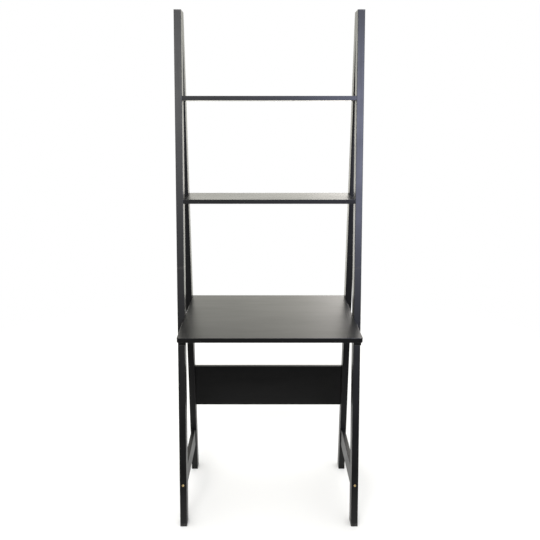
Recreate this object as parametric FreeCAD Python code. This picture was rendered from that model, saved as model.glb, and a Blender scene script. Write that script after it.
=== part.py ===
import FreeCAD
import Part
import math
import os

from FreeCAD import Placement, Rotation, Vector

# A ladder desk in painted timber: two A-shaped sides carry two shelves, a desk board and a back panel.
# Millimetres. The origin is on the floor at the middle of the plan. +Z is up and the front faces -Y.

# Overall sizes
overall_width = 650.0
overall_height = 1800.0
overall_depth = 454.0

# Posts, each made in two lengths that butt together above the desk board
post_width = 25.0
post_depth = 40.0
post_edge_radius = 1.6
post_joint_rise = 172.0
post_joint_chamfer = 0.6
front_foot_setback = 61.0
apex_front_depth = 27.0

# Desk board
desk_height = 763.0
desk_thickness = 16.0
desk_corner_radius = 8.0
desk_edge_radius = 1.0

# Shelves, the upper one hung from the posts' tops
middle_shelf_height = 1170.0
top_shelf_drop = 282.0
shelf_thickness = 15.0
shelf_edge_radius = 1.0

# Back panel between the rear posts
panel_bottom = 296.0
panel_height = 173.0
panel_thickness = 15.0
panel_edge_radius = 1.0

# Rails between the front and rear post of each side
stretcher_bottom = 120.0
stretcher_height = 68.0
stretcher_thickness = 16.0
stretcher_edge_radius = 1.5
front_bolt_drop = 8.0

# Rails that carry the desk board
bearer_width = 25.0
bearer_height = 23.0
bearer_setback = 30.0
bearer_edge_radius = 5.0

# Connector bolts with a round socket head, and their nuts
bolt_diameter = 5.0
bolt_head_diameter = 8.0
bolt_head_height = 3.0
bolt_head_edge = 0.6
bolt_socket_width = 3.0
bolt_socket_depth = 1.8
bolt_tip_past_nut = 2.0
bolt_tip_room = 1.0
nut_diameter = 10.0
nut_length = 12.0
nut_slot_width = 1.4
nut_slot_depth = 1.5
nut_end_distance = 30.0
insert_diameter = 10.0
insert_length = 13.0

# Studs and sleeves inside the post joints
stud_diameter = 8.0
stud_length = 70.0
sleeve_diameter = 12.0
sleeve_length = 20.0
stud_end_room = 1.0

# Countersunk wood screws
desk_screw_diameter = 4.0
desk_screw_head_diameter = 8.0
desk_screw_bite = 9.0
apex_screw_diameter = 5.0
apex_screw_head_diameter = 10.0
apex_screw_bite = 20.0
screw_point_length = 4.0
screw_recess_width = 2.6
screw_recess_depth = 1.6

# Fits
hole_clearance = 0.25
seat_clearance = 0.1
overrun = 40.0
touch_tolerance = 0.01
angle_tolerance = 1.0

# Places along a piece, as shares of its length
desk_screw_shares = (0.08, 0.55, 0.88)
apex_screw_shares = (0.3, 0.75)
panel_bolt_shares = (0.22, 0.78)
half_share = 0.5

# Worked out from the sizes above
half_width = overall_width * half_share
inner_half_width = half_width - post_width
desk_front_y = -overall_depth * half_share
back_y = overall_depth * half_share
rear_front_y = back_y - post_depth
rear_centre_y = back_y - post_depth * half_share
foot_front_y = desk_front_y + front_foot_setback
top_front_y = rear_front_y - apex_front_depth
front_post_run = top_front_y - foot_front_y
lean = math.atan2(front_post_run, overall_height)
front_post_length = math.hypot(front_post_run, overall_height)
level_post_depth = post_depth / math.cos(lean)
post_joint_height = desk_height + post_joint_rise
front_joint_along = post_joint_height / math.cos(lean)
top_shelf_height = overall_height - top_shelf_drop
crotch_height = overall_height * (rear_front_y - level_post_depth - foot_front_y) / front_post_run
desk_underside = desk_height - desk_thickness
bearer_bottom = desk_underside - bearer_height
bearer_front_y = desk_front_y + bearer_setback
stretcher_middle = stretcher_bottom + stretcher_height * half_share
apex_screw_size = (post_depth + apex_screw_bite, apex_screw_diameter, apex_screw_head_diameter)
desk_screw_size = (bearer_height + desk_screw_bite, desk_screw_diameter, desk_screw_head_diameter)

axis_x = Vector(1, 0, 0)
axis_y = Vector(0, 1, 0)
axis_z = Vector(0, 0, 1)
lean_turn = Rotation(axis_x, -math.degrees(lean))
along_post = lean_turn.multVec(axis_z)
into_post = lean_turn.multVec(axis_y)


def front_face_y(height):
    """The leaning front face's place at a height."""
    return foot_front_y + front_post_run * height / overall_height


def front_centre_y(height):
    """The middle of the leaning post's level depth at a height."""
    return front_face_y(height) + level_post_depth * half_share


def block(low, high):
    """A box between two corners."""
    size = high - low
    return Part.makeBox(size.x, size.y, size.z, low)


def edges_along(shape, direction):
    """The straight edges that run along a direction."""
    least_share = math.cos(math.radians(angle_tolerance))
    found = []
    for edge in shape.Edges:
        if edge.Curve.TypeId == "Part::GeomLine":
            tangent = edge.tangentAt(edge.FirstParameter)
            if abs(tangent.dot(direction)) > least_share:
                found.append(edge)
    return found


def eased(shape, direction, radius):
    """The shape with its edges along a direction rounded."""
    return shape.makeFillet(radius, edges_along(shape, direction))


def edges_at(shape, direction, level):
    """The edges that lie wholly at one level along a direction."""
    found = []
    for edge in shape.Edges:
        levels = [vertex.Point.dot(direction) for vertex in edge.Vertexes]
        if all(abs(value - level) < touch_tolerance for value in levels):
            found.append(edge)
    return found


def rod(start, direction, length, diameter):
    """A round bar from a point along a direction."""
    return Part.makeCylinder(diameter * half_share, length, start, direction)


def cone(start, direction, length, start_diameter, end_diameter):
    """A round taper from a point along a direction."""
    return Part.makeCone(start_diameter * half_share, end_diameter * half_share, length, start, direction)


def hexagon_bar(start, direction, length, across_flats):
    """A six-sided bar from a point along a direction."""
    circumradius = across_flats / math.sqrt(3)
    turn = Rotation(axis_z, direction)
    points = []
    for corner in range(7):
        angle = math.radians(60 * corner)
        spoke = Vector(circumradius * math.cos(angle), circumradius * math.sin(angle), 0)
        points.append(start + turn.multVec(spoke))
    return Part.Face(Part.makePolygon(points)).extrude(direction * length)


def bolt(seat, direction, length):
    """A socket-headed bolt whose head sits on a seat, with its shank running along a direction."""
    top = seat - direction * bolt_head_height
    body = rod(top, direction, bolt_head_height, bolt_head_diameter)
    rim = edges_at(body, direction, top.dot(direction))
    head = body.makeFillet(bolt_head_edge, rim)
    head = head.cut(hexagon_bar(top, direction, bolt_socket_depth, bolt_socket_width))
    return head.fuse(rod(seat, direction, length, bolt_diameter)).removeSplitter()


def bolt_hole(seat, direction, length):
    """The room for a bolt's shank."""
    whole = overrun + length + bolt_tip_room
    return rod(seat - direction * overrun, direction, whole, bolt_diameter + 2 * hole_clearance)


def bolt_recess(seat, direction):
    """The round recess that sinks a bolt's head below the face."""
    return rod(seat - direction * overrun, direction, overrun, bolt_head_diameter + 2 * hole_clearance)


def barrel_nut(centre, axis, bolt_axis):
    """A cross nut: a round bar with a threaded hole across it and a slot in its outer end."""
    start = centre - axis * (nut_length * half_share)
    body = rod(start, axis, nut_length, nut_diameter)
    side = bolt_axis * nut_diameter
    across = rod(centre - side, bolt_axis, 2 * nut_diameter, bolt_diameter + 2 * seat_clearance)
    sill = axis.cross(bolt_axis) * (nut_slot_width * half_share)
    corners = [start - side - sill, start + side - sill, start + side + sill, start - side + sill]
    slot = Part.Face(Part.makePolygon(corners + corners[:1])).extrude(axis * nut_slot_depth)
    return body.cut(across).cut(slot)


def barrel_nut_hole(centre, axis):
    """The blind hole for a cross nut, open on the side that its slot faces."""
    start = centre - axis * overrun
    length = overrun + nut_length * half_share + seat_clearance
    return rod(start, axis, length, nut_diameter + 2 * seat_clearance)


def wood_screw(seat, direction, length, diameter, head_diameter):
    """A countersunk screw whose head is flush with a face."""
    head_length = (head_diameter - diameter) * half_share
    head = cone(seat, direction, head_length, head_diameter, diameter)
    head = head.cut(hexagon_bar(seat, direction, screw_recess_depth, screw_recess_width))
    point_start = length - screw_point_length
    shank = rod(seat + direction * head_length, direction, point_start - head_length, diameter)
    point = cone(seat + direction * point_start, direction, screw_point_length, diameter, 0)
    return head.fuse([shank, point]).removeSplitter()


def wood_screw_hole(seat, direction, length, diameter, head_diameter):
    """The room for a countersunk screw."""
    wide = head_diameter + 2 * seat_clearance
    narrow = diameter + 2 * seat_clearance
    sink = cone(seat, direction, (wide - narrow) * half_share, wide, narrow)
    return sink.fuse(rod(seat, direction, length + seat_clearance, narrow))


def post_length(low, high, joint_level):
    """Post stock standing at the origin between two levels, with the joint's end edges chamfered."""
    stock = block(Vector(0, 0, low), Vector(post_width, post_depth, high))
    stock = eased(stock, axis_z, post_edge_radius)
    return stock.makeChamfer(post_joint_chamfer, edges_at(stock, axis_z, joint_level))


def joint_room(joint_centre, direction):
    """The stud's hole and the sleeve's seat on one side of a post joint."""
    depth = stud_length * half_share + stud_end_room
    stud_room = rod(joint_centre, direction, depth, stud_diameter + 2 * hole_clearance)
    seat_diameter = sleeve_diameter + 2 * seat_clearance
    seat = rod(joint_centre, direction, sleeve_length + seat_clearance, seat_diameter)
    return stud_room.fuse(seat)


def joint_sleeve(joint_centre, direction):
    """A threaded sleeve flush with one end of a post joint."""
    outer = rod(joint_centre, direction, sleeve_length, sleeve_diameter)
    return outer.cut(rod(joint_centre, direction, sleeve_length, stud_diameter + 2 * seat_clearance))


def side_bolt_places(side):
    """Where bolts pass through a side's posts, each a piece name, a seat and a shank length."""
    seat_x = side * (half_width - bolt_head_height - seat_clearance)
    grip = post_width - bolt_head_height - seat_clearance
    nut_reach = grip + nut_end_distance + nut_diameter * half_share + bolt_tip_past_nut
    insert_reach = grip + insert_length
    bearer_middle = bearer_bottom + bearer_height * half_share
    middle_level = middle_shelf_height - shelf_thickness * half_share
    top_level = top_shelf_height - shelf_thickness * half_share
    places = []
    for name, level, reach in (
        ("bearer", bearer_middle, insert_reach),
        ("middle_shelf", middle_level, nut_reach),
        ("top_shelf", top_level, nut_reach),
    ):
        for y in (front_centre_y(level), rear_centre_y):
            places.append((name, Vector(seat_x, y, level), reach))
    for share in panel_bolt_shares:
        level = panel_bottom + panel_height * share
        places.append(("panel", Vector(seat_x, rear_centre_y, level), nut_reach))
    return places


def stretcher_bolt_places(side):
    """A stretcher's front and rear bolts, each a seat, a direction, a shank length and its nut's centre."""
    x = side * (half_width - post_width * half_share)
    nut_reach = nut_end_distance + nut_diameter * half_share + bolt_tip_past_nut
    front_level = stretcher_middle - front_bolt_drop
    front_entry = Vector(x, front_face_y(front_level) + level_post_depth, front_level)
    front_seat = front_entry - into_post * post_depth
    front_nut = front_entry + into_post * nut_end_distance
    rear_entry = Vector(x, rear_front_y, stretcher_middle)
    rear_grip = post_depth - bolt_head_height - seat_clearance
    rear_seat = rear_entry + axis_y * rear_grip
    rear_nut = rear_entry - axis_y * nut_end_distance
    front = (front_seat, into_post, post_depth + nut_reach, front_nut)
    rear = (rear_seat, -axis_y, rear_grip + nut_reach, rear_nut)
    return front, rear


def apex_screw_places(side):
    """The seats of the screws that hold the front post to the rear post at the top."""
    x = side * (half_width - post_width * half_share)
    rise = overall_height - crotch_height
    return [Vector(x, back_y, crotch_height + rise * share) for share in apex_screw_shares]


def desk_screw_places(side):
    """The seats of the screws that rise through a bearer into the desk board."""
    x = side * (inner_half_width - bearer_width * half_share)
    run = back_y - bearer_front_y
    return [Vector(x, bearer_front_y + run * share, bearer_bottom) for share in desk_screw_shares]


def build_posts(side):
    """The four post lengths of one side, and the studs and sleeves of its two joints."""
    low_x = min(side * half_width, side * inner_half_width)
    centre_x = side * (half_width - post_width * half_share)
    far = overall_width + overall_height
    floor_waste = block(Vector(-far, -far, -far), Vector(far, far, 0))
    top_waste = block(Vector(-far, -far, overall_height), Vector(far, far, far))
    scarf_waste = block(Vector(-far, rear_front_y, 0), Vector(far, far, far))

    lean_place = Placement(Vector(low_x, foot_front_y, 0), lean_turn)
    rear_place = Placement(Vector(low_x, rear_front_y, 0), Rotation())
    front_lower = post_length(-overrun, front_joint_along, front_joint_along)
    front_upper = post_length(front_joint_along, front_post_length + overrun, front_joint_along)
    rear_lower = post_length(0, post_joint_height, post_joint_height)
    rear_upper = post_length(post_joint_height, overall_height, post_joint_height)
    for stock in (front_lower, front_upper):
        stock.Placement = lean_place
    for stock in (rear_lower, rear_upper):
        stock.Placement = rear_place
    front_lower = front_lower.cut(floor_waste)
    front_upper = front_upper.cut(top_waste).cut(scarf_waste)

    foot = Vector(centre_x, foot_front_y, 0)
    front_joint = foot + along_post * front_joint_along + into_post * (post_depth * half_share)
    rear_joint = Vector(centre_x, rear_centre_y, post_joint_height)
    front_lower = front_lower.cut(joint_room(front_joint, -along_post))
    front_upper = front_upper.cut(joint_room(front_joint, along_post))
    rear_lower = rear_lower.cut(joint_room(rear_joint, -axis_z))
    rear_upper = rear_upper.cut(joint_room(rear_joint, axis_z))

    inward = axis_x * -side
    for name, seat, reach in side_bolt_places(side):
        room = bolt_hole(seat, inward, reach).fuse(bolt_recess(seat, inward))
        if seat.z < post_joint_height:
            front_lower = front_lower.cut(room)
            rear_lower = rear_lower.cut(room)
        else:
            front_upper = front_upper.cut(room)
            rear_upper = rear_upper.cut(room)
    front_bolt, rear_bolt = stretcher_bolt_places(side)
    front_lower = front_lower.cut(bolt_hole(*front_bolt[:3]))
    rear_lower = rear_lower.cut(bolt_hole(*rear_bolt[:3])).cut(bolt_recess(*rear_bolt[:2]))
    for seat in apex_screw_places(side):
        room = wood_screw_hole(seat, -axis_y, *apex_screw_size)
        front_upper = front_upper.cut(room)
        rear_upper = rear_upper.cut(room)

    studs = []
    sleeves = []
    for centre, direction in ((front_joint, along_post), (rear_joint, axis_z)):
        stud_start = centre - direction * (stud_length * half_share)
        studs.append(rod(stud_start, direction, stud_length, stud_diameter))
        sleeves.append(joint_sleeve(centre, direction))
        sleeves.append(joint_sleeve(centre, -direction))
    posts = {
        "front_post_%s_lower": front_lower,
        "front_post_%s_upper": front_upper,
        "rear_post_%s_lower": rear_lower,
        "rear_post_%s_upper": rear_upper,
    }
    return posts, studs, sleeves


def build_stretcher(side):
    """One low rail, cut at its front end to the front post's lean, with its nuts."""
    top = stretcher_bottom + stretcher_height
    low_x = side * (half_width - post_width * half_share) - stretcher_thickness * half_share
    corners = [
        Vector(low_x, front_face_y(stretcher_bottom) + level_post_depth, stretcher_bottom),
        Vector(low_x, rear_front_y, stretcher_bottom),
        Vector(low_x, rear_front_y, top),
        Vector(low_x, front_face_y(top) + level_post_depth, top),
    ]
    rail = Part.Face(Part.makePolygon(corners + corners[:1])).extrude(axis_x * stretcher_thickness)
    rail = eased(rail, axis_y, stretcher_edge_radius)
    inward = axis_x * -side
    nuts = []
    for seat, direction, length, nut_centre in stretcher_bolt_places(side):
        rail = rail.cut(bolt_hole(seat, direction, length)).cut(barrel_nut_hole(nut_centre, inward))
        nuts.append(barrel_nut(nut_centre, inward, direction))
    return rail, nuts


def build_bearer(side):
    """One rail under the desk board, with its threaded inserts and the screws that hold the board."""
    near_x = side * (inner_half_width - bearer_width)
    outer_x = side * inner_half_width
    low = Vector(min(near_x, outer_x), bearer_front_y, bearer_bottom)
    high = Vector(max(near_x, outer_x), back_y, desk_underside)
    rail = block(low, high)
    rail = rail.makeFillet(bearer_edge_radius, edges_at(rail, axis_z, bearer_bottom))
    inward = axis_x * -side
    inserts = []
    for name, seat, reach in side_bolt_places(side):
        if name == "bearer":
            mouth = Vector(outer_x, seat.y, seat.z)
            seat_room = rod(mouth, inward, insert_length, insert_diameter + 2 * seat_clearance)
            rail = rail.cut(bolt_hole(seat, inward, reach)).cut(seat_room)
            bore = rod(mouth, inward, insert_length, bolt_diameter + 2 * seat_clearance)
            inserts.append(rod(mouth, inward, insert_length, insert_diameter).cut(bore))
    screws = []
    for seat in desk_screw_places(side):
        rail = rail.cut(wood_screw_hole(seat, axis_z, *desk_screw_size))
        screws.append(wood_screw(seat, axis_z, *desk_screw_size))
    return rail, inserts, screws


def bolted_board(board, name, nut_axis):
    """A board with its end bolts' holes cut, and the cross nuts that the bolts pull on."""
    nuts = []
    for side in sides.values():
        inward = axis_x * -side
        for owner, seat, reach in side_bolt_places(side):
            if owner == name:
                centre = Vector(side * (inner_half_width - nut_end_distance), seat.y, seat.z)
                board = board.cut(bolt_hole(seat, inward, reach)).cut(barrel_nut_hole(centre, nut_axis))
                nuts.append(barrel_nut(centre, nut_axis, inward))
    return board, nuts


def build_shelf(name, height):
    """A shelf between the posts, flush with their front and back."""
    low = Vector(-inner_half_width, front_face_y(height), height - shelf_thickness)
    high = Vector(inner_half_width, back_y, height)
    board = eased(block(low, high), axis_x, shelf_edge_radius)
    return bolted_board(board, name, axis_z)


def build_panel():
    """The back panel, in the middle of the rear posts' depth."""
    front_y = rear_centre_y - panel_thickness * half_share
    low = Vector(-inner_half_width, front_y, panel_bottom)
    high = Vector(inner_half_width, front_y + panel_thickness, panel_bottom + panel_height)
    board = eased(block(low, high), axis_x, panel_edge_radius)
    return bolted_board(board, "panel", -axis_y)


def build_desk():
    """The desk board, with round front corners and eased edges."""
    low = Vector(-inner_half_width, desk_front_y, desk_underside)
    high = Vector(inner_half_width, back_y, desk_height)
    board = block(low, high)
    corners = [edge for edge in edges_along(board, axis_z) if edge.CenterOfMass.y < 0]
    board = board.makeFillet(desk_corner_radius, corners)
    rims = edges_at(board, axis_z, desk_height) + edges_at(board, axis_z, desk_underside)
    board = board.makeFillet(desk_edge_radius, rims)
    for side in sides.values():
        for seat in desk_screw_places(side):
            board = board.cut(wood_screw_hole(seat, axis_z, *desk_screw_size))
    return board


sides = {"left": -1, "right": 1}
nodes = {}


def add(name, solids):
    """Put solids into a node, which keeps like fasteners together."""
    nodes.setdefault(name, []).extend(solids)


for side_name, side in sides.items():
    posts, studs, sleeves = build_posts(side)
    for pattern, solid in posts.items():
        add(pattern % side_name, [solid])
    rail, nuts = build_stretcher(side)
    add("side_stretcher_" + side_name, [rail])
    bearer, inserts, desk_screws = build_bearer(side)
    add("desk_bearer_" + side_name, [bearer])
    add("post_joint_studs", studs)
    add("post_joint_inserts", sleeves)
    add("stretcher_barrel_nuts", nuts)
    add("bearer_inserts", inserts)
    add("desk_screws", desk_screws)
    front_bolt, rear_bolt = stretcher_bolt_places(side)
    add("stretcher_front_bolts", [bolt(*front_bolt[:3])])
    add("stretcher_rear_bolts", [bolt(*rear_bolt[:3])])
    for seat in apex_screw_places(side):
        add("apex_screws", [wood_screw(seat, -axis_y, *apex_screw_size)])
    for owner, seat, reach in side_bolt_places(side):
        group = "shelf_bolts" if owner.endswith("shelf") else owner + "_bolts"
        add(group, [bolt(seat, axis_x * -side, reach)])

middle_shelf, middle_nuts = build_shelf("middle_shelf", middle_shelf_height)
top_shelf, top_nuts = build_shelf("top_shelf", top_shelf_height)
panel, panel_nuts = build_panel()
add("desk_top", [build_desk()])
add("middle_shelf", [middle_shelf])
add("top_shelf", [top_shelf])
add("modesty_panel", [panel])
add("shelf_barrel_nuts", middle_nuts + top_nuts)
add("panel_barrel_nuts", panel_nuts)

os.makedirs("parts", exist_ok=True)
for name, shapes in nodes.items():
    solids = [solid for shape in shapes for solid in shape.Solids]
    whole = solids[0] if len(solids) == 1 else Part.makeCompound(solids)
    whole.exportStep("parts/%s.step" % name)
    print("%-26s %2d solid(s) %10.0f mm3 %s" % (name, len(solids), whole.Volume, whole.isValid()))
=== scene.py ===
import math

import bpy
import numpy as np
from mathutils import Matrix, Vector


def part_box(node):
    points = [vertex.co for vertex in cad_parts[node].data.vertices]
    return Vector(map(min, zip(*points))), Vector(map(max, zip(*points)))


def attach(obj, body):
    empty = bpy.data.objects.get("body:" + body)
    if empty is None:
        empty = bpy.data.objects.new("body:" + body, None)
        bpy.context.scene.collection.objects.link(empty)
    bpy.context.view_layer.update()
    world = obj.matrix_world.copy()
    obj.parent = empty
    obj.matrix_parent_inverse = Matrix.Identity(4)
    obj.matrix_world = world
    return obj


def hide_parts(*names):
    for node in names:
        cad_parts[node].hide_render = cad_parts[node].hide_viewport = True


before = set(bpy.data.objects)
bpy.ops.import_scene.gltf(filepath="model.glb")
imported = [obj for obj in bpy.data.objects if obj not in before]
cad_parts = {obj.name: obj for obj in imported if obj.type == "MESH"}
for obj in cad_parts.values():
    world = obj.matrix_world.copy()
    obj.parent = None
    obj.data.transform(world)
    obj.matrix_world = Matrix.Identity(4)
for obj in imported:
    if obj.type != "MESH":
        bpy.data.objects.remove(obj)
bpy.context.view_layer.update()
print("frame:", len(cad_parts), "nodes")

# Lengths are metres. The front faces -Y and left is -X.
mm = 0.001
alongX, alongY, alongZ = 0, 1, 2


# Helpers

def addObject(name, data):
    # an object in the scene, at the origin
    thing = bpy.data.objects.new(name, data)
    bpy.context.scene.collection.objects.link(thing)
    return thing


def feed(tree, socket, value):
    # an input linked to another node's output, or else set to a plain value
    if isinstance(value, bpy.types.NodeSocket):
        tree.links.new(value, socket)
    else:
        socket.default_value = value


def put(tree, kind, inputs=None, **traits):
    # one shader node: its traits come first, because they decide which inputs it has
    node = tree.nodes.new("ShaderNode" + kind)
    for trait, value in traits.items():
        setattr(node, trait, value)
    for key, value in (inputs or {}).items():
        feed(tree, node.inputs[key], value)
    return node


def calc(tree, operation, first, second=0.0, third=0.0, clamp=False):
    # one sum on values
    inputs = {0: first, 1: second, 2: third}
    return put(tree, "Math", inputs, operation=operation, use_clamp=clamp).outputs[0]


def vectorCalc(tree, operation, first, second=(0, 0, 0)):
    # one sum on vectors
    return put(tree, "VectorMath", {0: first, 1: second}, operation=operation).outputs[0]


def axes(tree, vector):
    # a vector's X, Y and Z
    return put(tree, "SeparateXYZ", {0: vector}).outputs


def objectPlace(tree):
    # where a point lies in its object, which is also where it lies in the frame
    return put(tree, "TexCoord").outputs["Object"]


def remap(tree, value, window, toLow=0.0, toHigh=1.0):
    # a value carried from its window to another range, and held inside that
    inputs = {"Value": value, "From Min": window[0], "From Max": window[1],
              "To Min": toLow, "To Max": toHigh}
    return put(tree, "MapRange", inputs).outputs[0]


def blendColour(tree, share, first, second):
    # the second colour over the first; a Mix node's colours are its inputs 6 and 7
    return put(tree, "Mix", {0: share, 6: first, 7: second}, data_type="RGBA").outputs[2]


def noise(tree, vector, scale, look):
    # a noise texture's value; the look holds the node's own inputs
    return put(tree, "TexNoise", dict(look, Vector=vector, Scale=scale)).outputs[0]


def newGroup(name, inputs, outputs):
    # an empty node group with its named sockets, all of which are given wherever it is used
    tree = bpy.data.node_groups.new(name, "ShaderNodeTree")
    for way, sockets in (("INPUT", inputs), ("OUTPUT", outputs)):
        for label, kind in sockets.items():
            tree.interface.new_socket(label, in_out=way, socket_type="NodeSocket" + kind)
    return tree, tree.nodes.new("NodeGroupInput").outputs, tree.nodes.new("NodeGroupOutput").inputs


def useGroup(tree, group, inputs):
    # a group placed in a material with its own values
    return put(tree, "Group", inputs, node_tree=group).outputs


# Effects that several finishes share; a window is the part of a noise's values that shows

grainNoise = {
    "figure": {"Detail": 4.0, "Roughness": 0.55, "Distortion": 0.7}, "figureWindow": (0.3, 0.7),
    "pores": {"Detail": 3.0, "Roughness": 0.6}, "poreWindow": (0.52, 0.7),
}


def makeTimberGrain(look):
    # long figure and fine pores: noise drawn out along the grain
    inputs = {"Vector": "Vector", "Figure Stretch": "Vector", "Pore Stretch": "Vector"}
    tree, given, result = newGroup("timberGrain", inputs, {"Figure": "Float", "Pores": "Float"})
    drawn = vectorCalc(tree, "MULTIPLY", given["Vector"], given["Figure Stretch"])
    thin = vectorCalc(tree, "MULTIPLY", given["Vector"], given["Pore Stretch"])
    figure = noise(tree, drawn, 1.0, look["figure"])
    pores = noise(tree, thin, 1.0, look["pores"])
    tree.links.new(remap(tree, figure, look["figureWindow"]), result["Figure"])
    tree.links.new(remap(tree, pores, look["poreWindow"]), result["Pores"])
    return tree


filmNoise = {
    "peel": {"Detail": 1.5},
    "mottle": {"Detail": 4.0, "Roughness": 0.6}, "mottleWindow": (0.3, 0.7),
}


def makeSprayFilm(look):
    # sprayed paint: a fine orange peel, and slow mottling of its sheen
    inputs = {"Vector": "Vector", "Peel Scale": "Float", "Mottle Scale": "Float"}
    tree, given, result = newGroup("sprayFilm", inputs, {"Peel": "Float", "Mottle": "Float"})
    peel = noise(tree, given["Vector"], given["Peel Scale"], look["peel"])
    mottle = noise(tree, given["Vector"], given["Mottle Scale"], look["mottle"])
    tree.links.new(peel, result["Peel"])
    tree.links.new(remap(tree, mottle, look["mottleWindow"]), result["Mottle"])
    return tree


rubAndHighlightNoise = {"breaks": {"Detail": 5.0, "Roughness": 0.7}, "window": (0.4, 0.62), "least": 0.15}


def makeArrisRubAndHighlight(look):
    # paint rubbed thin along a squared piece's arrises, with a painted highlight there too, broken up by
    # noise: of a point's depths under the three pairs of faces, the middle one is small only where it is
    # near two faces at once
    inputs = {"Vector": "Vector", "Half Size": "Vector", "Width": "Float", "Break Scale": "Float"}
    tree, given, result = newGroup("arrisRubAndHighlight", inputs, {"RubAndHighlight": "Float"})
    fromMiddle = vectorCalc(tree, "ABSOLUTE", given["Vector"])
    depths = axes(tree, vectorCalc(tree, "SUBTRACT", given["Half Size"], fromMiddle))
    lesser = calc(tree, "MINIMUM", depths[0], depths[1])
    greater = calc(tree, "MAXIMUM", depths[0], depths[1])
    middle = calc(tree, "MAXIMUM", lesser, calc(tree, "MINIMUM", greater, depths[2]))
    band = calc(tree, "SUBTRACT", 1.0, calc(tree, "DIVIDE", middle, given["Width"]), clamp=True)
    breaks = noise(tree, given["Vector"], given["Break Scale"], look["breaks"])
    broken = remap(tree, breaks, look["window"], toLow=look["least"])
    tree.links.new(calc(tree, "MULTIPLY", band, broken), result["RubAndHighlight"])
    return tree


ringNoise = {"Detail": 3.0}


def makeLatheMarks(look):
    # rings that a turning tool leaves: noise along the profile, the same all the way round
    inputs = {"Vector": "Vector", "Ring Scale": "Float"}
    tree, given, result = newGroup("latheMarks", inputs, {"Rings": "Float"})
    place = calc(tree, "MULTIPLY", axes(tree, given["Vector"])[1], given["Ring Scale"])
    rings = put(tree, "TexNoise", dict(look, W=place, Scale=1.0), noise_dimensions="1D")
    tree.links.new(rings.outputs[0], result["Rings"])
    return tree


timberGrain = makeTimberGrain(grainNoise)
sprayFilm = makeSprayFilm(filmNoise)
arrisRubAndHighlight = makeArrisRubAndHighlight(rubAndHighlightNoise)
latheMarks = makeLatheMarks(ringNoise)
print("effects: grain, spray film, arris rub, lathe marks")


# Finishes

def emptyMaterial(name):
    # a material with no nodes yet
    material = bpy.data.materials.new(name)
    material.use_nodes = True
    material.node_tree.nodes.clear()
    return material, material.node_tree


def newMaterial(name):
    # a material with its surface shader
    material, tree = emptyMaterial(name)
    shader = put(tree, "BsdfPrincipled")
    tree.links.new(shader.outputs[0], put(tree, "OutputMaterial").inputs[0])
    return material, tree, shader


def coatSurface(tree, shader, colour, sheen, relief):
    # what every finish ends in: its colour, its sheen, and its relief as a bump in metres
    tree.links.new(colour, shader.inputs["Base Color"])
    tree.links.new(sheen, shader.inputs["Roughness"])
    bump = put(tree, "Bump", {"Height": relief, "Distance": 1.0, "Strength": 1.0})
    tree.links.new(bump.outputs[0], shader.inputs["Normal"])


def pieceVector(tree, centre, tilt):
    # the place brought to a piece's own middle and lean
    inputs = {"Vector": objectPlace(tree), "Location": centre, "Rotation": (-tilt, 0, 0)}
    return put(tree, "Mapping", inputs, vector_type="TEXTURE").outputs[0]


def grainStretch(acrossScale, alongScale, axis):
    # noise scales: fine across the grain and coarse along it
    stretch = [acrossScale] * 3
    stretch[axis] = alongScale
    return stretch


def satinPaint(name, finish, centre, halfSize, tilt, axis):
    # black satin paint over timber: colour, sheen and relief vary with the grain and the film,
    # and colour and sheen with the arrises too, which are lighter partly from paint rubbed thin and partly
    # from a painted highlight
    material, tree, shader = newMaterial(name)
    vector = pieceVector(tree, centre, tilt)
    grain = useGroup(tree, timberGrain, {
        "Vector": vector,
        "Figure Stretch": grainStretch(finish["acrossScale"], finish["alongScale"], axis),
        "Pore Stretch": grainStretch(finish["poreAcrossScale"], finish["poreAlongScale"], axis)})
    film = useGroup(tree, sprayFilm, {
        "Vector": vector, "Peel Scale": finish["peelScale"], "Mottle Scale": finish["mottleScale"]})
    rubAndHighlight = useGroup(tree, arrisRubAndHighlight, {
        "Vector": vector, "Half Size": halfSize, "Width": finish["rubAndHighlightWidth"],
        "Break Scale": finish["rubAndHighlightBreakScale"]})["RubAndHighlight"]

    tone = calc(tree, "MULTIPLY", film["Mottle"], finish["mottleTone"])
    tone = calc(tree, "MULTIPLY_ADD", grain["Figure"], finish["figureTone"], tone)
    body = blendColour(tree, tone, finish["deepColour"], finish["paleColour"])
    # lighter along the arrises: partly paint rubbed thin, partly a painted highlight along the edges
    wornAndHighlit = calc(tree, "MULTIPLY", rubAndHighlight, finish["rubAndHighlightTone"])
    colour = blendColour(tree, wornAndHighlit, body, finish["rubAndHighlightColour"])

    sheen = calc(tree, "MULTIPLY_ADD", film["Mottle"], finish["mottleSheen"], finish["roughness"])
    sheen = calc(tree, "MULTIPLY_ADD", grain["Figure"], finish["figureSheen"], sheen)
    sheen = calc(tree, "MULTIPLY_ADD", rubAndHighlight, finish["rubSheen"], sheen, clamp=True)

    relief = calc(tree, "MULTIPLY", film["Peel"], finish["peelDepth"])
    relief = calc(tree, "MULTIPLY_ADD", grain["Pores"], -finish["poreDepth"], relief)
    relief = calc(tree, "MULTIPLY_ADD", grain["Figure"], finish["figureDepth"], relief)
    coatSurface(tree, shader, colour, sheen, relief)
    shader.inputs["IOR"].default_value = finish["ior"]
    return material


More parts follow.
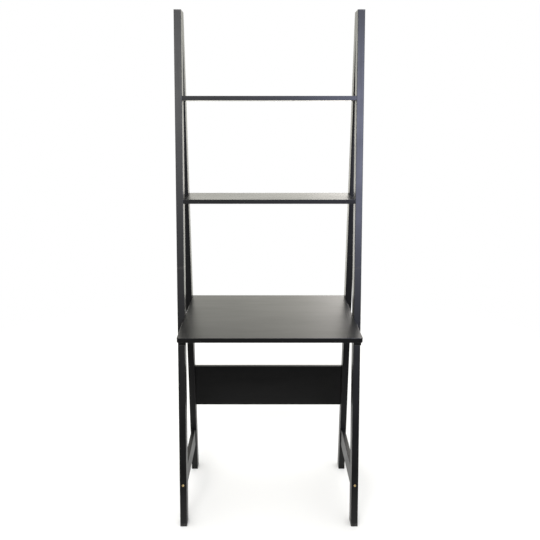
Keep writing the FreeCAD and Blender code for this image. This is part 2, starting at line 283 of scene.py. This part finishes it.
framePaint = {
    "deepColour": (0.0008, 0.0008, 0.0007, 1),
    "paleColour": (0.0026, 0.0025, 0.0022, 1),
    # the arrises' lighter colour: partly rubbed paint, partly a painted highlight
    "rubAndHighlightColour": (0.05, 0.048, 0.046, 1),
    "figureTone": 0.5, "mottleTone": 0.4, "rubAndHighlightTone": 0.6,
    "roughness": 0.33, "mottleSheen": 0.06, "figureSheen": 0.05, "rubSheen": -0.05,
    "acrossScale": 150.0, "alongScale": 4.0,
    "poreAcrossScale": 1400.0, "poreAlongScale": 45.0,
    "peelScale": 700.0, "mottleScale": 9.0,
    "rubAndHighlightWidth": 1.7 * mm, "rubAndHighlightBreakScale": 70.0,
    "peelDepth": 0.005 * mm, "poreDepth": 0.005 * mm, "figureDepth": 0.02 * mm,
    "ior": 1.32,
}
boardPaint = dict(framePaint, **{
    "roughness": 0.3275, "mottleSheen": 0.015, "figureSheen": 0.04,
    "acrossScale": 42.0, "alongScale": 3.5,
    "poreAcrossScale": 900.0, "poreAlongScale": 25.0,
    "poreDepth": 0.004 * mm, "figureDepth": 0.05 * mm,
    "mottleScale": 6.0, "rubAndHighlightWidth": 1.2 * mm, "ior": 1.34,
})
panelPaint = dict(boardPaint, ior=1.28)


def squaredPiece(node):
    # a squared piece's middle and half size, from its box
    low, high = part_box(node)
    return (low + high) / 2, (high - low) / 2


def frontLean():
    # the shelves' front edges follow the front posts, so two of them give the lean
    lowMiddle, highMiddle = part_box("middle_shelf")
    lowTop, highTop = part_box("top_shelf")
    return math.atan2(lowTop.y - lowMiddle.y, highTop.z - highMiddle.z)


def leaningPiece(node, tilt):
    # a front post's middle on its leaning centre line, which starts at the foot;
    # its stock is the rear post's
    centre, halfSize = squaredPiece(node)
    halfSize.y = squaredPiece("rear_post_left_lower")[1].y
    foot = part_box("front_post_left_lower")[0].y
    centre.y = foot + centre.z * math.tan(tilt) + halfSize.y / math.cos(tilt)
    return centre, halfSize


def dress(node, material):
    # a CAD node's slots take the finish
    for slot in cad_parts[node].material_slots:
        slot.material = material


def withEndings(pieces, endings):
    # every piece with every ending
    return [piece + "_" + ending for piece in pieces for ending in endings]


lean = frontLean()
sides, lengths = ("left", "right"), ("lower", "upper")
boards = {"desk_top": boardPaint, "middle_shelf": boardPaint, "top_shelf": boardPaint,
          "modesty_panel": panelPaint}
rails = withEndings(["side_stretcher", "desk_bearer"], sides)
rearPosts = withEndings(withEndings(["rear_post"], sides), lengths)
frontPosts = withEndings(withEndings(["front_post"], sides), lengths)

# node, finish, lean, and the axis that the grain follows
painted = [(node, finish, 0.0, alongX) for node, finish in boards.items()]
painted += [(node, framePaint, 0.0, alongY) for node in rails]
painted += [(node, framePaint, 0.0, alongZ) for node in rearPosts]
painted += [(node, framePaint, lean, alongZ) for node in frontPosts]
for node, finish, tilt, axis in painted:
    centre, halfSize = leaningPiece(node, tilt) if tilt else squaredPiece(node)
    dress(node, satinPaint(node + "Paint", finish, centre, halfSize, tilt, axis))
print("paint:", len(painted), "pieces, lean", round(math.degrees(lean), 2))


# Fasteners

def metal(name, finish, turned):
    # plated metal: fine pits and a slow tarnish; turned pieces also have tool rings and a socket that is
    # darker and rougher towards its floor
    material, tree, shader = newMaterial(name)
    film = useGroup(tree, sprayFilm, {
        "Vector": objectPlace(tree), "Peel Scale": finish["pitScale"],
        "Mottle Scale": finish["tarnishScale"]})
    tarnish = calc(tree, "MULTIPLY", film["Mottle"], finish["tarnishTone"])
    colour = blendColour(tree, tarnish, finish["colour"], finish["tarnishColour"])
    sheen = calc(tree, "MULTIPLY_ADD", film["Mottle"], finish["tarnishSheen"], finish["roughness"])
    relief = calc(tree, "MULTIPLY", film["Peel"], finish["pitDepth"])
    if turned:
        skin = put(tree, "UVMap", uv_map="turned").outputs[0]
        rings = useGroup(tree, latheMarks, {"Vector": skin, "Ring Scale": finish["ringScale"]})["Rings"]
        relief = calc(tree, "MULTIPLY_ADD", rings, finish["ringDepth"], relief)
        # darker and rougher over the socket's floor, fading out up its walls
        towardsSocketFloor = remap(tree, axes(tree, skin)[1], finish["socketFloorWindow"], 1.0, 0.0)
        colour = blendColour(tree, towardsSocketFloor, colour, finish["socketFloorColour"])
        sheen = calc(tree, "MULTIPLY_ADD", towardsSocketFloor, finish["socketFloorSheen"], sheen)
    coatSurface(tree, shader, colour, sheen, relief)
    shader.inputs["Metallic"].default_value = 1.0
    return material


# the darker, rougher colour fades out along the profile, which starts in the middle of the socket's floor
boltBrass = {
    "colour": (0.75, 0.56, 0.25, 1), "tarnishColour": (0.43, 0.29, 0.11, 1), "tarnishTone": 0.5,
    "roughness": 0.24, "tarnishSheen": 0.18, "tarnishScale": 160.0,
    "pitScale": 2600.0, "pitDepth": 0.004 * mm, "ringScale": 5000.0, "ringDepth": 0.006 * mm,
    "socketFloorColour": (0.06, 0.04, 0.02, 1), "socketFloorSheen": 0.3, "socketFloorWindow": (2.0 * mm, 3.5 * mm),
}
zincSteel = {
    "colour": (0.46, 0.47, 0.48, 1), "tarnishColour": (0.25, 0.26, 0.28, 1), "tarnishTone": 0.6,
    "roughness": 0.34, "tarnishSheen": 0.2, "tarnishScale": 220.0,
    "pitScale": 1800.0, "pitDepth": 0.006 * mm, "ringScale": 4000.0, "ringDepth": 0.006 * mm,
    "socketFloorColour": (0.05, 0.05, 0.05, 1), "socketFloorSheen": 0.3, "socketFloorWindow": (1.6 * mm, 3.0 * mm),
}
plainSteel = ("stretcher_barrel_nuts", "shelf_barrel_nuts", "panel_barrel_nuts", "post_joint_studs",
              "post_joint_inserts", "bearer_inserts")
for node in plainSteel:
    dress(node, metal(node + "Steel", zincSteel, False))
print("steel:", len(plainSteel), "nodes keep their solids")


def nodePoints(node):
    # a CAD node's vertices as rows
    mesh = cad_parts[node].data
    points = np.empty(len(mesh.vertices) * 3, np.float32)
    mesh.vertices.foreach_get("co", points)
    return points.reshape(-1, 3).astype(float)


def splitApart(points, gaps):
    # clusters: along each axis in turn, cut wherever the next point is further on than the gap
    groups = [points]
    for axis, gap in gaps:
        finer = []
        for group in groups:
            inOrder = group[np.argsort(group[:, axis])]
            finer += np.split(inOrder, np.flatnonzero(np.diff(inOrder[:, axis]) > gap) + 1)
        groups = finer
    return groups


def fastenerPlaces(node, gaps, heading):
    # each fastener's head end and direction, and the length of the first, which they share;
    # the heading is the right side's, mirrored on the left
    places, spans = [], []
    for group in splitApart(nodePoints(node), gaps):
        direction = np.array(heading) * (np.sign(group[:, 0].mean()), 1, 1)
        along = group @ direction
        beside = group - along[:, None] * direction
        start = (beside.min(0) + beside.max(0)) / 2 + along.min() * direction
        places.append((start, direction))
        spans.append(along.max() - along.min())
    return places, spans[0]


def straightRows(fromStation, fromReach, toStation, toReach, steps, hexagon=0.0):
    # a straight stretch of profile: station along the axis, reach from it, hexagon share, thread share
    rows = np.zeros((steps, 4))
    rows[:, 0] = np.linspace(fromStation, toStation, steps)
    rows[:, 1] = np.linspace(fromReach, toReach, steps)
    rows[:, 2] = hexagon
    return rows


def roundedRows(station, reach, radius, steps):
    # a quarter round from an end face to a side
    turn = np.linspace(0, math.pi / 2, steps)
    rows = np.zeros((steps, 4))
    rows[:, 0] = station - radius * np.cos(turn)
    rows[:, 1] = reach + radius * np.sin(turn)
    return rows


def threadRows(fromStation, toStation, reach, size):
    # a threaded stretch: so many rows to a turn, the thread growing in and dying out over one turn
    steps = int(size["turnRows"] * (toStation - fromStation) / size["pitch"])
    rows = straightRows(fromStation, reach, toStation, reach, steps)
    fromEnds = np.minimum(rows[:, 0] - fromStation, toStation - rows[:, 0])
    rows[:, 3] = np.clip(fromEnds / size["pitch"], 0, 1)
    return rows


def boltRows(size, whole):
    # socket floor, socket walls, head face, rounded edge, side, underside, shank, thread, tip
    length = whole - size["headHeight"]
    top = -size["headHeight"]
    floor = top + size["socketDepth"]
    flat = size["socketWidth"] / 2
    corner = 2 * flat / math.sqrt(3)
    bevel = size["bevel"]
    head, edge, shank = size["headWidth"] / 2, size["headEdge"], size["shankWidth"] / 2
    threadStart, threadEnd = length - size["threadLength"], length - 2 * bevel
    return np.concatenate([
        straightRows(floor + bevel, 0, floor, flat, steps=4, hexagon=1.0),
        straightRows(floor, flat, top + bevel, flat, steps=4, hexagon=1.0),
        straightRows(top, corner + bevel, top, head - edge, steps=6),
        roundedRows(top + edge, head - edge, edge, steps=6),
        straightRows(top + edge, head, -bevel, head, steps=3),
        straightRows(0, head - bevel, 0, shank + bevel, steps=3),
        straightRows(bevel, shank, threadStart, shank, steps=6),
        threadRows(threadStart, threadEnd, shank, size),
        straightRows(length, shank - 2 * bevel, length, 0, steps=3),
    ])


def screwRows(size, whole):
    # recess floor, recess walls, flat head, countersink, shank, thread, point
    floor = size["recessDepth"]
    flat = size["recessWidth"] / 2
    corner = 2 * flat / math.sqrt(3)
    bevel = size["bevel"]
    head, shank = size["headWidth"] / 2, size["shankWidth"] / 2
    sink = head - shank
    threadStart, threadEnd = sink + size["plainLength"], whole - size["pointLength"]
    return np.concatenate([
        straightRows(floor + bevel, 0, floor, flat, steps=4, hexagon=1.0),
        straightRows(floor, flat, bevel, flat, steps=4, hexagon=1.0),
        straightRows(0, corner + bevel, 0, head - bevel, steps=5),
        straightRows(bevel, head - bevel, sink, shank, steps=5),
        straightRows(sink, shank, threadStart, shank, steps=3),
        threadRows(threadStart, threadEnd, shank, size),
        straightRows(threadEnd, shank, whole, 0, steps=6),
    ])


def turnedGrid(rows, size, count):
    # reach as a function of angle and row: round or six-sided, less the helix that the thread cuts
    angle = np.arange(count) * 2 * math.pi / count
    station, reach, hexagon, thread = rows.T[:, :, None]
    sixSided = reach / np.cos((angle + math.pi / 6) % (math.pi / 3) - math.pi / 6)
    turn = (station / size["pitch"] - angle / (2 * math.pi)) % 1
    groove = np.clip(size["threadSlope"] * np.abs(2 * turn - 1) - size["threadCrest"], 0, 1)
    reach = reach + hexagon * (sixSided - reach) - thread * size["threadDepth"] * groove
    return reach * np.cos(angle), reach * np.sin(angle), station - rows[:, 0].min() + 0 * reach


def turnedFaces(rowCount, count):
    # quads round the rings, and a fan at each pole; the poles are the last two points
    index = np.arange(rowCount * count).reshape(rowCount, count)
    beside = np.roll(index, -1, axis=1)
    quads = np.stack([index[:-1], beside[:-1], beside[1:], index[1:]], -1).reshape(-1, 4)
    pole = np.full(count, rowCount * count)
    fans = np.concatenate([np.stack([pole, beside[0], index[0]], -1),
                           np.stack([pole + 1, index[-1], beside[-1]], -1)])
    return quads, fans


def turnedSkin(rows, count):
    # the skin's own map for each face corner: share of a turn, and length along the profile
    length = np.insert(np.cumsum(np.hypot(*np.diff(rows[:, :2], axis=0).T)), 0, 0)
    low = np.arange(count) / count
    high, middle, flat = low + 1 / count, low + 0.5 / count, 0 * low
    left, near = np.meshgrid(low, length[1:-2])
    right, far = np.meshgrid(high, length[2:-1])
    quads = np.stack([left, near, right, near, right, far, left, far], -1)
    startFan = np.stack([middle, flat, high, flat + length[1], low, flat + length[1]], -1)
    endFan = np.stack([middle, flat + length[-1], low, flat + length[-2], high, flat + length[-2]], -1)
    return np.concatenate([part.reshape(-1, 2) for part in (quads, startFan, endFan)])


sameRow = 1e-9    # rows nearer than this are one row
steep = 0.7       # the upward share past which a direction counts as upright


def sideways(direction):
    # a unit vector square to the direction: level, or along X where the direction is upright
    upright = (0, 0, 1) if abs(direction[2]) < steep else (0, 1, 0)
    across = np.cross(upright, direction)
    return across / np.linalg.norm(across)


def turnPieces(node, kind, gaps, heading):
    # a node's fasteners as one mesh, each set along its own axis; the first and last rows are the poles
    places, whole = fastenerPlaces(node, gaps, heading)
    rows = kind["profile"](kind, whole)
    rows = rows[np.insert(np.abs(np.diff(rows, axis=0)).max(1) > sameRow, 0, True)]
    count = kind["facets"]
    x, y, z = turnedGrid(rows, kind, count)
    quads, fans = turnedFaces(len(rows) - 2, count)
    points, faces = [], []
    for start, direction in places:
        offset = sum(len(part) for part in points)
        across = sideways(direction)
        grid = (start + x[..., None] * across + y[..., None] * np.cross(direction, across)
                + z[..., None] * direction)
        points.append(np.concatenate([grid[1:-1].reshape(-1, 3), grid[[0, -1], 0]]))
        faces += (quads + offset).tolist() + (fans + offset).tolist()
    mesh = bpy.data.meshes.new(node + "_turned")
    mesh.from_pydata(np.concatenate(points).tolist(), [], faces)
    skin = np.tile(turnedSkin(rows, count), (len(places), 1))
    mesh.uv_layers.new(name="turned").data.foreach_set("uv", skin.ravel())
    mesh.polygons.foreach_set("use_smooth", np.ones(len(faces), bool))
    mesh.set_sharp_from_angle(angle=math.radians(kind["sharpAngle"]))
    mesh.materials.append(kind["material"])
    piece = addObject(node + "_turned", mesh)
    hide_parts(node)
    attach(piece, "root")
    print("turned:", node, len(places), "pieces,", len(faces), "faces")


socketBolt = {
    "profile": boltRows, "slot": "bolt_brass", "material": metal("boltBrass", boltBrass, True),
    "headWidth": 8.0 * mm, "headHeight": 3.0 * mm, "headEdge": 0.6 * mm, "bevel": 0.2 * mm,
    "socketWidth": 3.0 * mm, "socketDepth": 1.8 * mm, "shankWidth": 5.0 * mm, "threadLength": 22.0 * mm,
    "pitch": 0.8 * mm, "threadDepth": 0.42 * mm, "threadSlope": 1.3, "threadCrest": 0.15,
    "turnRows": 6, "facets": 36, "sharpAngle": 32.0,
}
deskScrew = {
    "profile": screwRows, "slot": "hardware_steel", "material": metal("screwSteel", zincSteel, True),
    "headWidth": 8.0 * mm, "bevel": 0.15 * mm, "recessWidth": 2.6 * mm, "recessDepth": 1.6 * mm,
    "shankWidth": 4.0 * mm, "plainLength": 8.0 * mm, "pointLength": 4.0 * mm,
    "pitch": 1.8 * mm, "threadDepth": 0.7 * mm, "threadSlope": 2.2, "threadCrest": 0.1,
    "turnRows": 6, "facets": 36, "sharpAngle": 32.0,
}
apexScrew = dict(deskScrew, **{
    "headWidth": 10.0 * mm, "shankWidth": 5.0 * mm, "plainLength": 20.0 * mm, "pitch": 2.2 * mm,
    "threadDepth": 0.9 * mm,
})

# neighbours stand at least this far apart: on one side of the desk, and from side to side
besideGap, sideGap = 6 * mm, 120 * mm
bySide = [(alongX, sideGap)]
inPosts = [(alongZ, besideGap), (alongY, besideGap), (alongX, sideGap)]

# which way each points from its head on the right side; the front bolts stand square to the leaning post
inward, forward, upward = (-1, 0, 0), (0, -1, 0), (0, 0, 1)
squareToLean = (0, math.cos(lean), -math.sin(lean))
turnPieces("stretcher_front_bolts", socketBolt, bySide, squareToLean)
turnPieces("stretcher_rear_bolts", socketBolt, bySide, forward)
for node in ("bearer_bolts", "shelf_bolts", "panel_bolts"):
    turnPieces(node, socketBolt, inPosts, inward)
turnPieces("desk_screws", deskScrew, bySide + [(alongY, besideGap)], upward)
turnPieces("apex_screws", apexScrew, bySide + [(alongZ, besideGap)], forward)


# Studio

def flatSheet(name, corner, across, up, count):
    # a flat sheet: corner plus two edge vectors, as a function of two shares
    share = np.linspace(0, 1, count)
    s, t = np.meshgrid(share, share)
    points = np.array(corner) + s[..., None] * np.array(across) + t[..., None] * np.array(up)
    index = np.arange(count * count).reshape(count, count)
    quads = np.stack([index[:-1, :-1], index[:-1, 1:], index[1:, 1:], index[1:, :-1]], -1)
    mesh = bpy.data.meshes.new(name)
    mesh.from_pydata(points.reshape(-1, 3).tolist(), [], quads.reshape(-1, 4).tolist())
    sheet = addObject(name, mesh)
    return sheet


def cardLight(name, card):
    # a card's light, shaded from one edge to the other; a see-through card adds it to what is behind
    material, tree = emptyMaterial(name)
    material.cycles.emission_sampling = "NONE"
    share = remap(tree, axes(tree, objectPlace(tree))[card["axis"]], card["window"])
    light = put(tree, "Emission", {"Color": blendColour(tree, share, card["lowColour"], card["highColour"])})
    if card["seeThrough"]:
        light = put(tree, "AddShader", {0: light.outputs[0], 1: put(tree, "BsdfTransparent").outputs[0]})
    tree.links.new(light.outputs[0], put(tree, "OutputMaterial").inputs[0])
    return material


# the cards stand for the room that the paint mirrors
cards = {
    "floorCard": {"corner": (-6, -6, -0.01), "across": (12, 0, 0), "up": (0, 5.5, 0),
                  "lowColour": (0.68, 0.68, 0.67, 1), "highColour": (0.02, 0.02, 0.02, 1),
                  "axis": alongY, "window": (-3.4, -1.6), "seeThrough": False},
    "frontCard": {"corner": (6, -5, -0.01), "across": (-12, 0, 0), "up": (0, 0, 6),
                  "lowColour": (0.62, 0.62, 0.62, 1), "highColour": (2.7, 2.7, 2.7, 1),
                  "axis": alongZ, "window": (0.7, 3.0), "seeThrough": False},
    "sideCard": {"corner": (-0.18, 1.4, 0.9), "across": (1.12, 0, 0), "up": (0, 0, 0.56),
                 "lowColour": (0, 0, 0, 1), "highColour": (0.85, 0.8, 0.74, 1),
                 "axis": alongX, "window": (-0.18, 0.25), "seeThrough": True},
    "endCard": {"corner": (0.22, 1.41, 0.9), "across": (0.72, 0, 0), "up": (0, 0, 0.56),
                "lowColour": (0, 0, 0, 1), "highColour": (3.06, 2.89, 2.89, 1),
                "axis": alongX, "window": (0.22, 0.62), "seeThrough": True},
}
cardPoints = 2    # along each edge


def standCard(name, card):
    # only glossy rays see a card
    sheet = flatSheet(name, card["corner"], card["across"], card["up"], cardPoints)
    sheet.data.materials.append(cardLight(name + "Light", card))
    sheet.visible_camera = False
    sheet.visible_diffuse = False
    sheet.visible_transmission = False
    sheet.visible_shadow = False


for name, card in cards.items():
    standCard(name, card)

floorLook = {"colour": (0.93, 0.93, 0.925, 1), "roughness": 0.8, "reach": 3.0, "points": 9,
             "fadeWindow": (1.1, 2.6), "frontWindow": (-0.6, -0.27)}


def makeFloor(look):
    # pale, without gloss, and fading into the white round it: with distance, and towards the front
    reach = look["reach"]
    floor = flatSheet("floor", (-reach, -reach, 0), (2 * reach, 0, 0), (0, 2 * reach, 0), look["points"])
    material, tree, shader = newMaterial("floorPale")
    shader.inputs["Base Color"].default_value = look["colour"]
    shader.inputs["Roughness"].default_value = look["roughness"]
    shader.inputs["Specular IOR Level"].default_value = 0.0
    place = objectPlace(tree)
    away = put(tree, "VectorMath", {0: place}, operation="LENGTH").outputs["Value"]
    shade = calc(tree, "MULTIPLY", remap(tree, away, look["fadeWindow"], 1.0, 0.0),
                 remap(tree, axes(tree, place)[alongY], look["frontWindow"]))
    tree.links.new(shade, shader.inputs["Alpha"])
    floor.data.materials.append(material)


makeFloor(floorLook)

air = {"colour": (1, 1, 1, 1), "ambient": 1.1, "white": 1.0}


def fillAir(look):
    # white where it is seen or mirrored; its ambient strength is what lights matt surfaces
    world = bpy.data.worlds.new("studioAir")
    bpy.context.scene.world = world
    world.use_nodes = True
    tree = world.node_tree
    tree.nodes.clear()
    path = put(tree, "LightPath").outputs
    seen = calc(tree, "MAXIMUM", path["Is Camera Ray"],
                calc(tree, "MAXIMUM", path["Is Glossy Ray"], path["Is Transmission Ray"]))
    ambient = put(tree, "Background", {"Color": look["colour"], "Strength": look["ambient"]})
    white = put(tree, "Background", {"Color": look["colour"], "Strength": look["white"]})
    mix = put(tree, "MixShader", {0: seen, 1: ambient.outputs[0], 2: white.outputs[0]})
    tree.links.new(mix.outputs[0], put(tree, "OutputWorld").inputs[0])


fillAir(air)

# soft boxes: place, what they face, size and brightness; one that is only for gloss lights no matt surface
softBoxes = {
    "keyBox": {"place": (0.98, -2.5, 2.23), "aim": (0.31, 0.1, 1.4), "size": (0.9, 1.54), "bright": 27.7,
               "colour": (0.63, 0.68, 1.0), "onlyGloss": True},
    "fillBox": {"place": (-0.8, -2.7, 2.88), "aim": (-0.3, 0.1, 1.4), "size": (1.5, 1.34), "bright": 8.05,
                "colour": (1.0, 0.99, 0.97), "onlyGloss": False},
    "backBox": {"place": (0.1, 3.0, 1.05), "aim": (0.1, 0, 1.2), "size": (4.0, 2.8), "bright": 1.16,
                "colour": (1.0, 0.975, 0.81), "onlyGloss": False},
    "lowBox": {"place": (-0.9, 2.5, 0.45), "aim": (0.3, 0, 0.9), "size": (1.1, 0.8), "bright": 1.6,
               "colour": (1.0, 0.98, 0.94), "onlyGloss": False},
}


def hangBox(name, box):
    # an area lamp, its power being brightness times pi times area; it shines along its own -Z, so it is
    # pitched from straight down and then turned to its heading
    light = bpy.data.lights.new(name, "AREA")
    light.shape = "RECTANGLE"
    light.size, light.size_y = box["size"]
    light.energy = box["bright"] * math.pi * box["size"][0] * box["size"][1]
    light.color = box["colour"]
    lamp = addObject(name, light)
    x, y, z = np.array(box["aim"], float) - np.array(box["place"], float)
    lamp.rotation_euler = (math.atan2(math.hypot(x, y), -z), 0, math.atan2(y, x) - math.pi / 2)
    lamp.location = box["place"]
    lamp.visible_camera = False
    lamp.visible_diffuse = not box["onlyGloss"]


for name, box in softBoxes.items():
    hangBox(name, box)
print("studio: floor,", len(cards), "cards,", len(softBoxes), "soft boxes")

# the camera of the photograph, which was cropped a little to one side
cameraView = {"place": (-0.0196, -1.9321, 1.4539), "pitchDown": 15.212, "focalPixels": 569.3,
              "imagePixels": 540, "axisPixel": 263.6, "sensor": 36.0}


def setCamera(look):
    # the lens from the focal length in pixels, the shift from where the camera's axis meets the image
    data = bpy.data.cameras.new("camera")
    data.sensor_width = look["sensor"]
    data.lens = look["sensor"] * look["focalPixels"] / look["imagePixels"]
    data.shift_x = 0.5 - look["axisPixel"] / look["imagePixels"]
    camera = addObject("camera", data)
    camera.location = look["place"]
    camera.rotation_euler = (math.radians(90 - look["pitchDown"]), 0, 0)
    bpy.context.scene.camera = camera


setCamera(cameraView)
bpy.context.scene.view_settings.view_transform = "Standard"

bpy.context.view_layer.update()
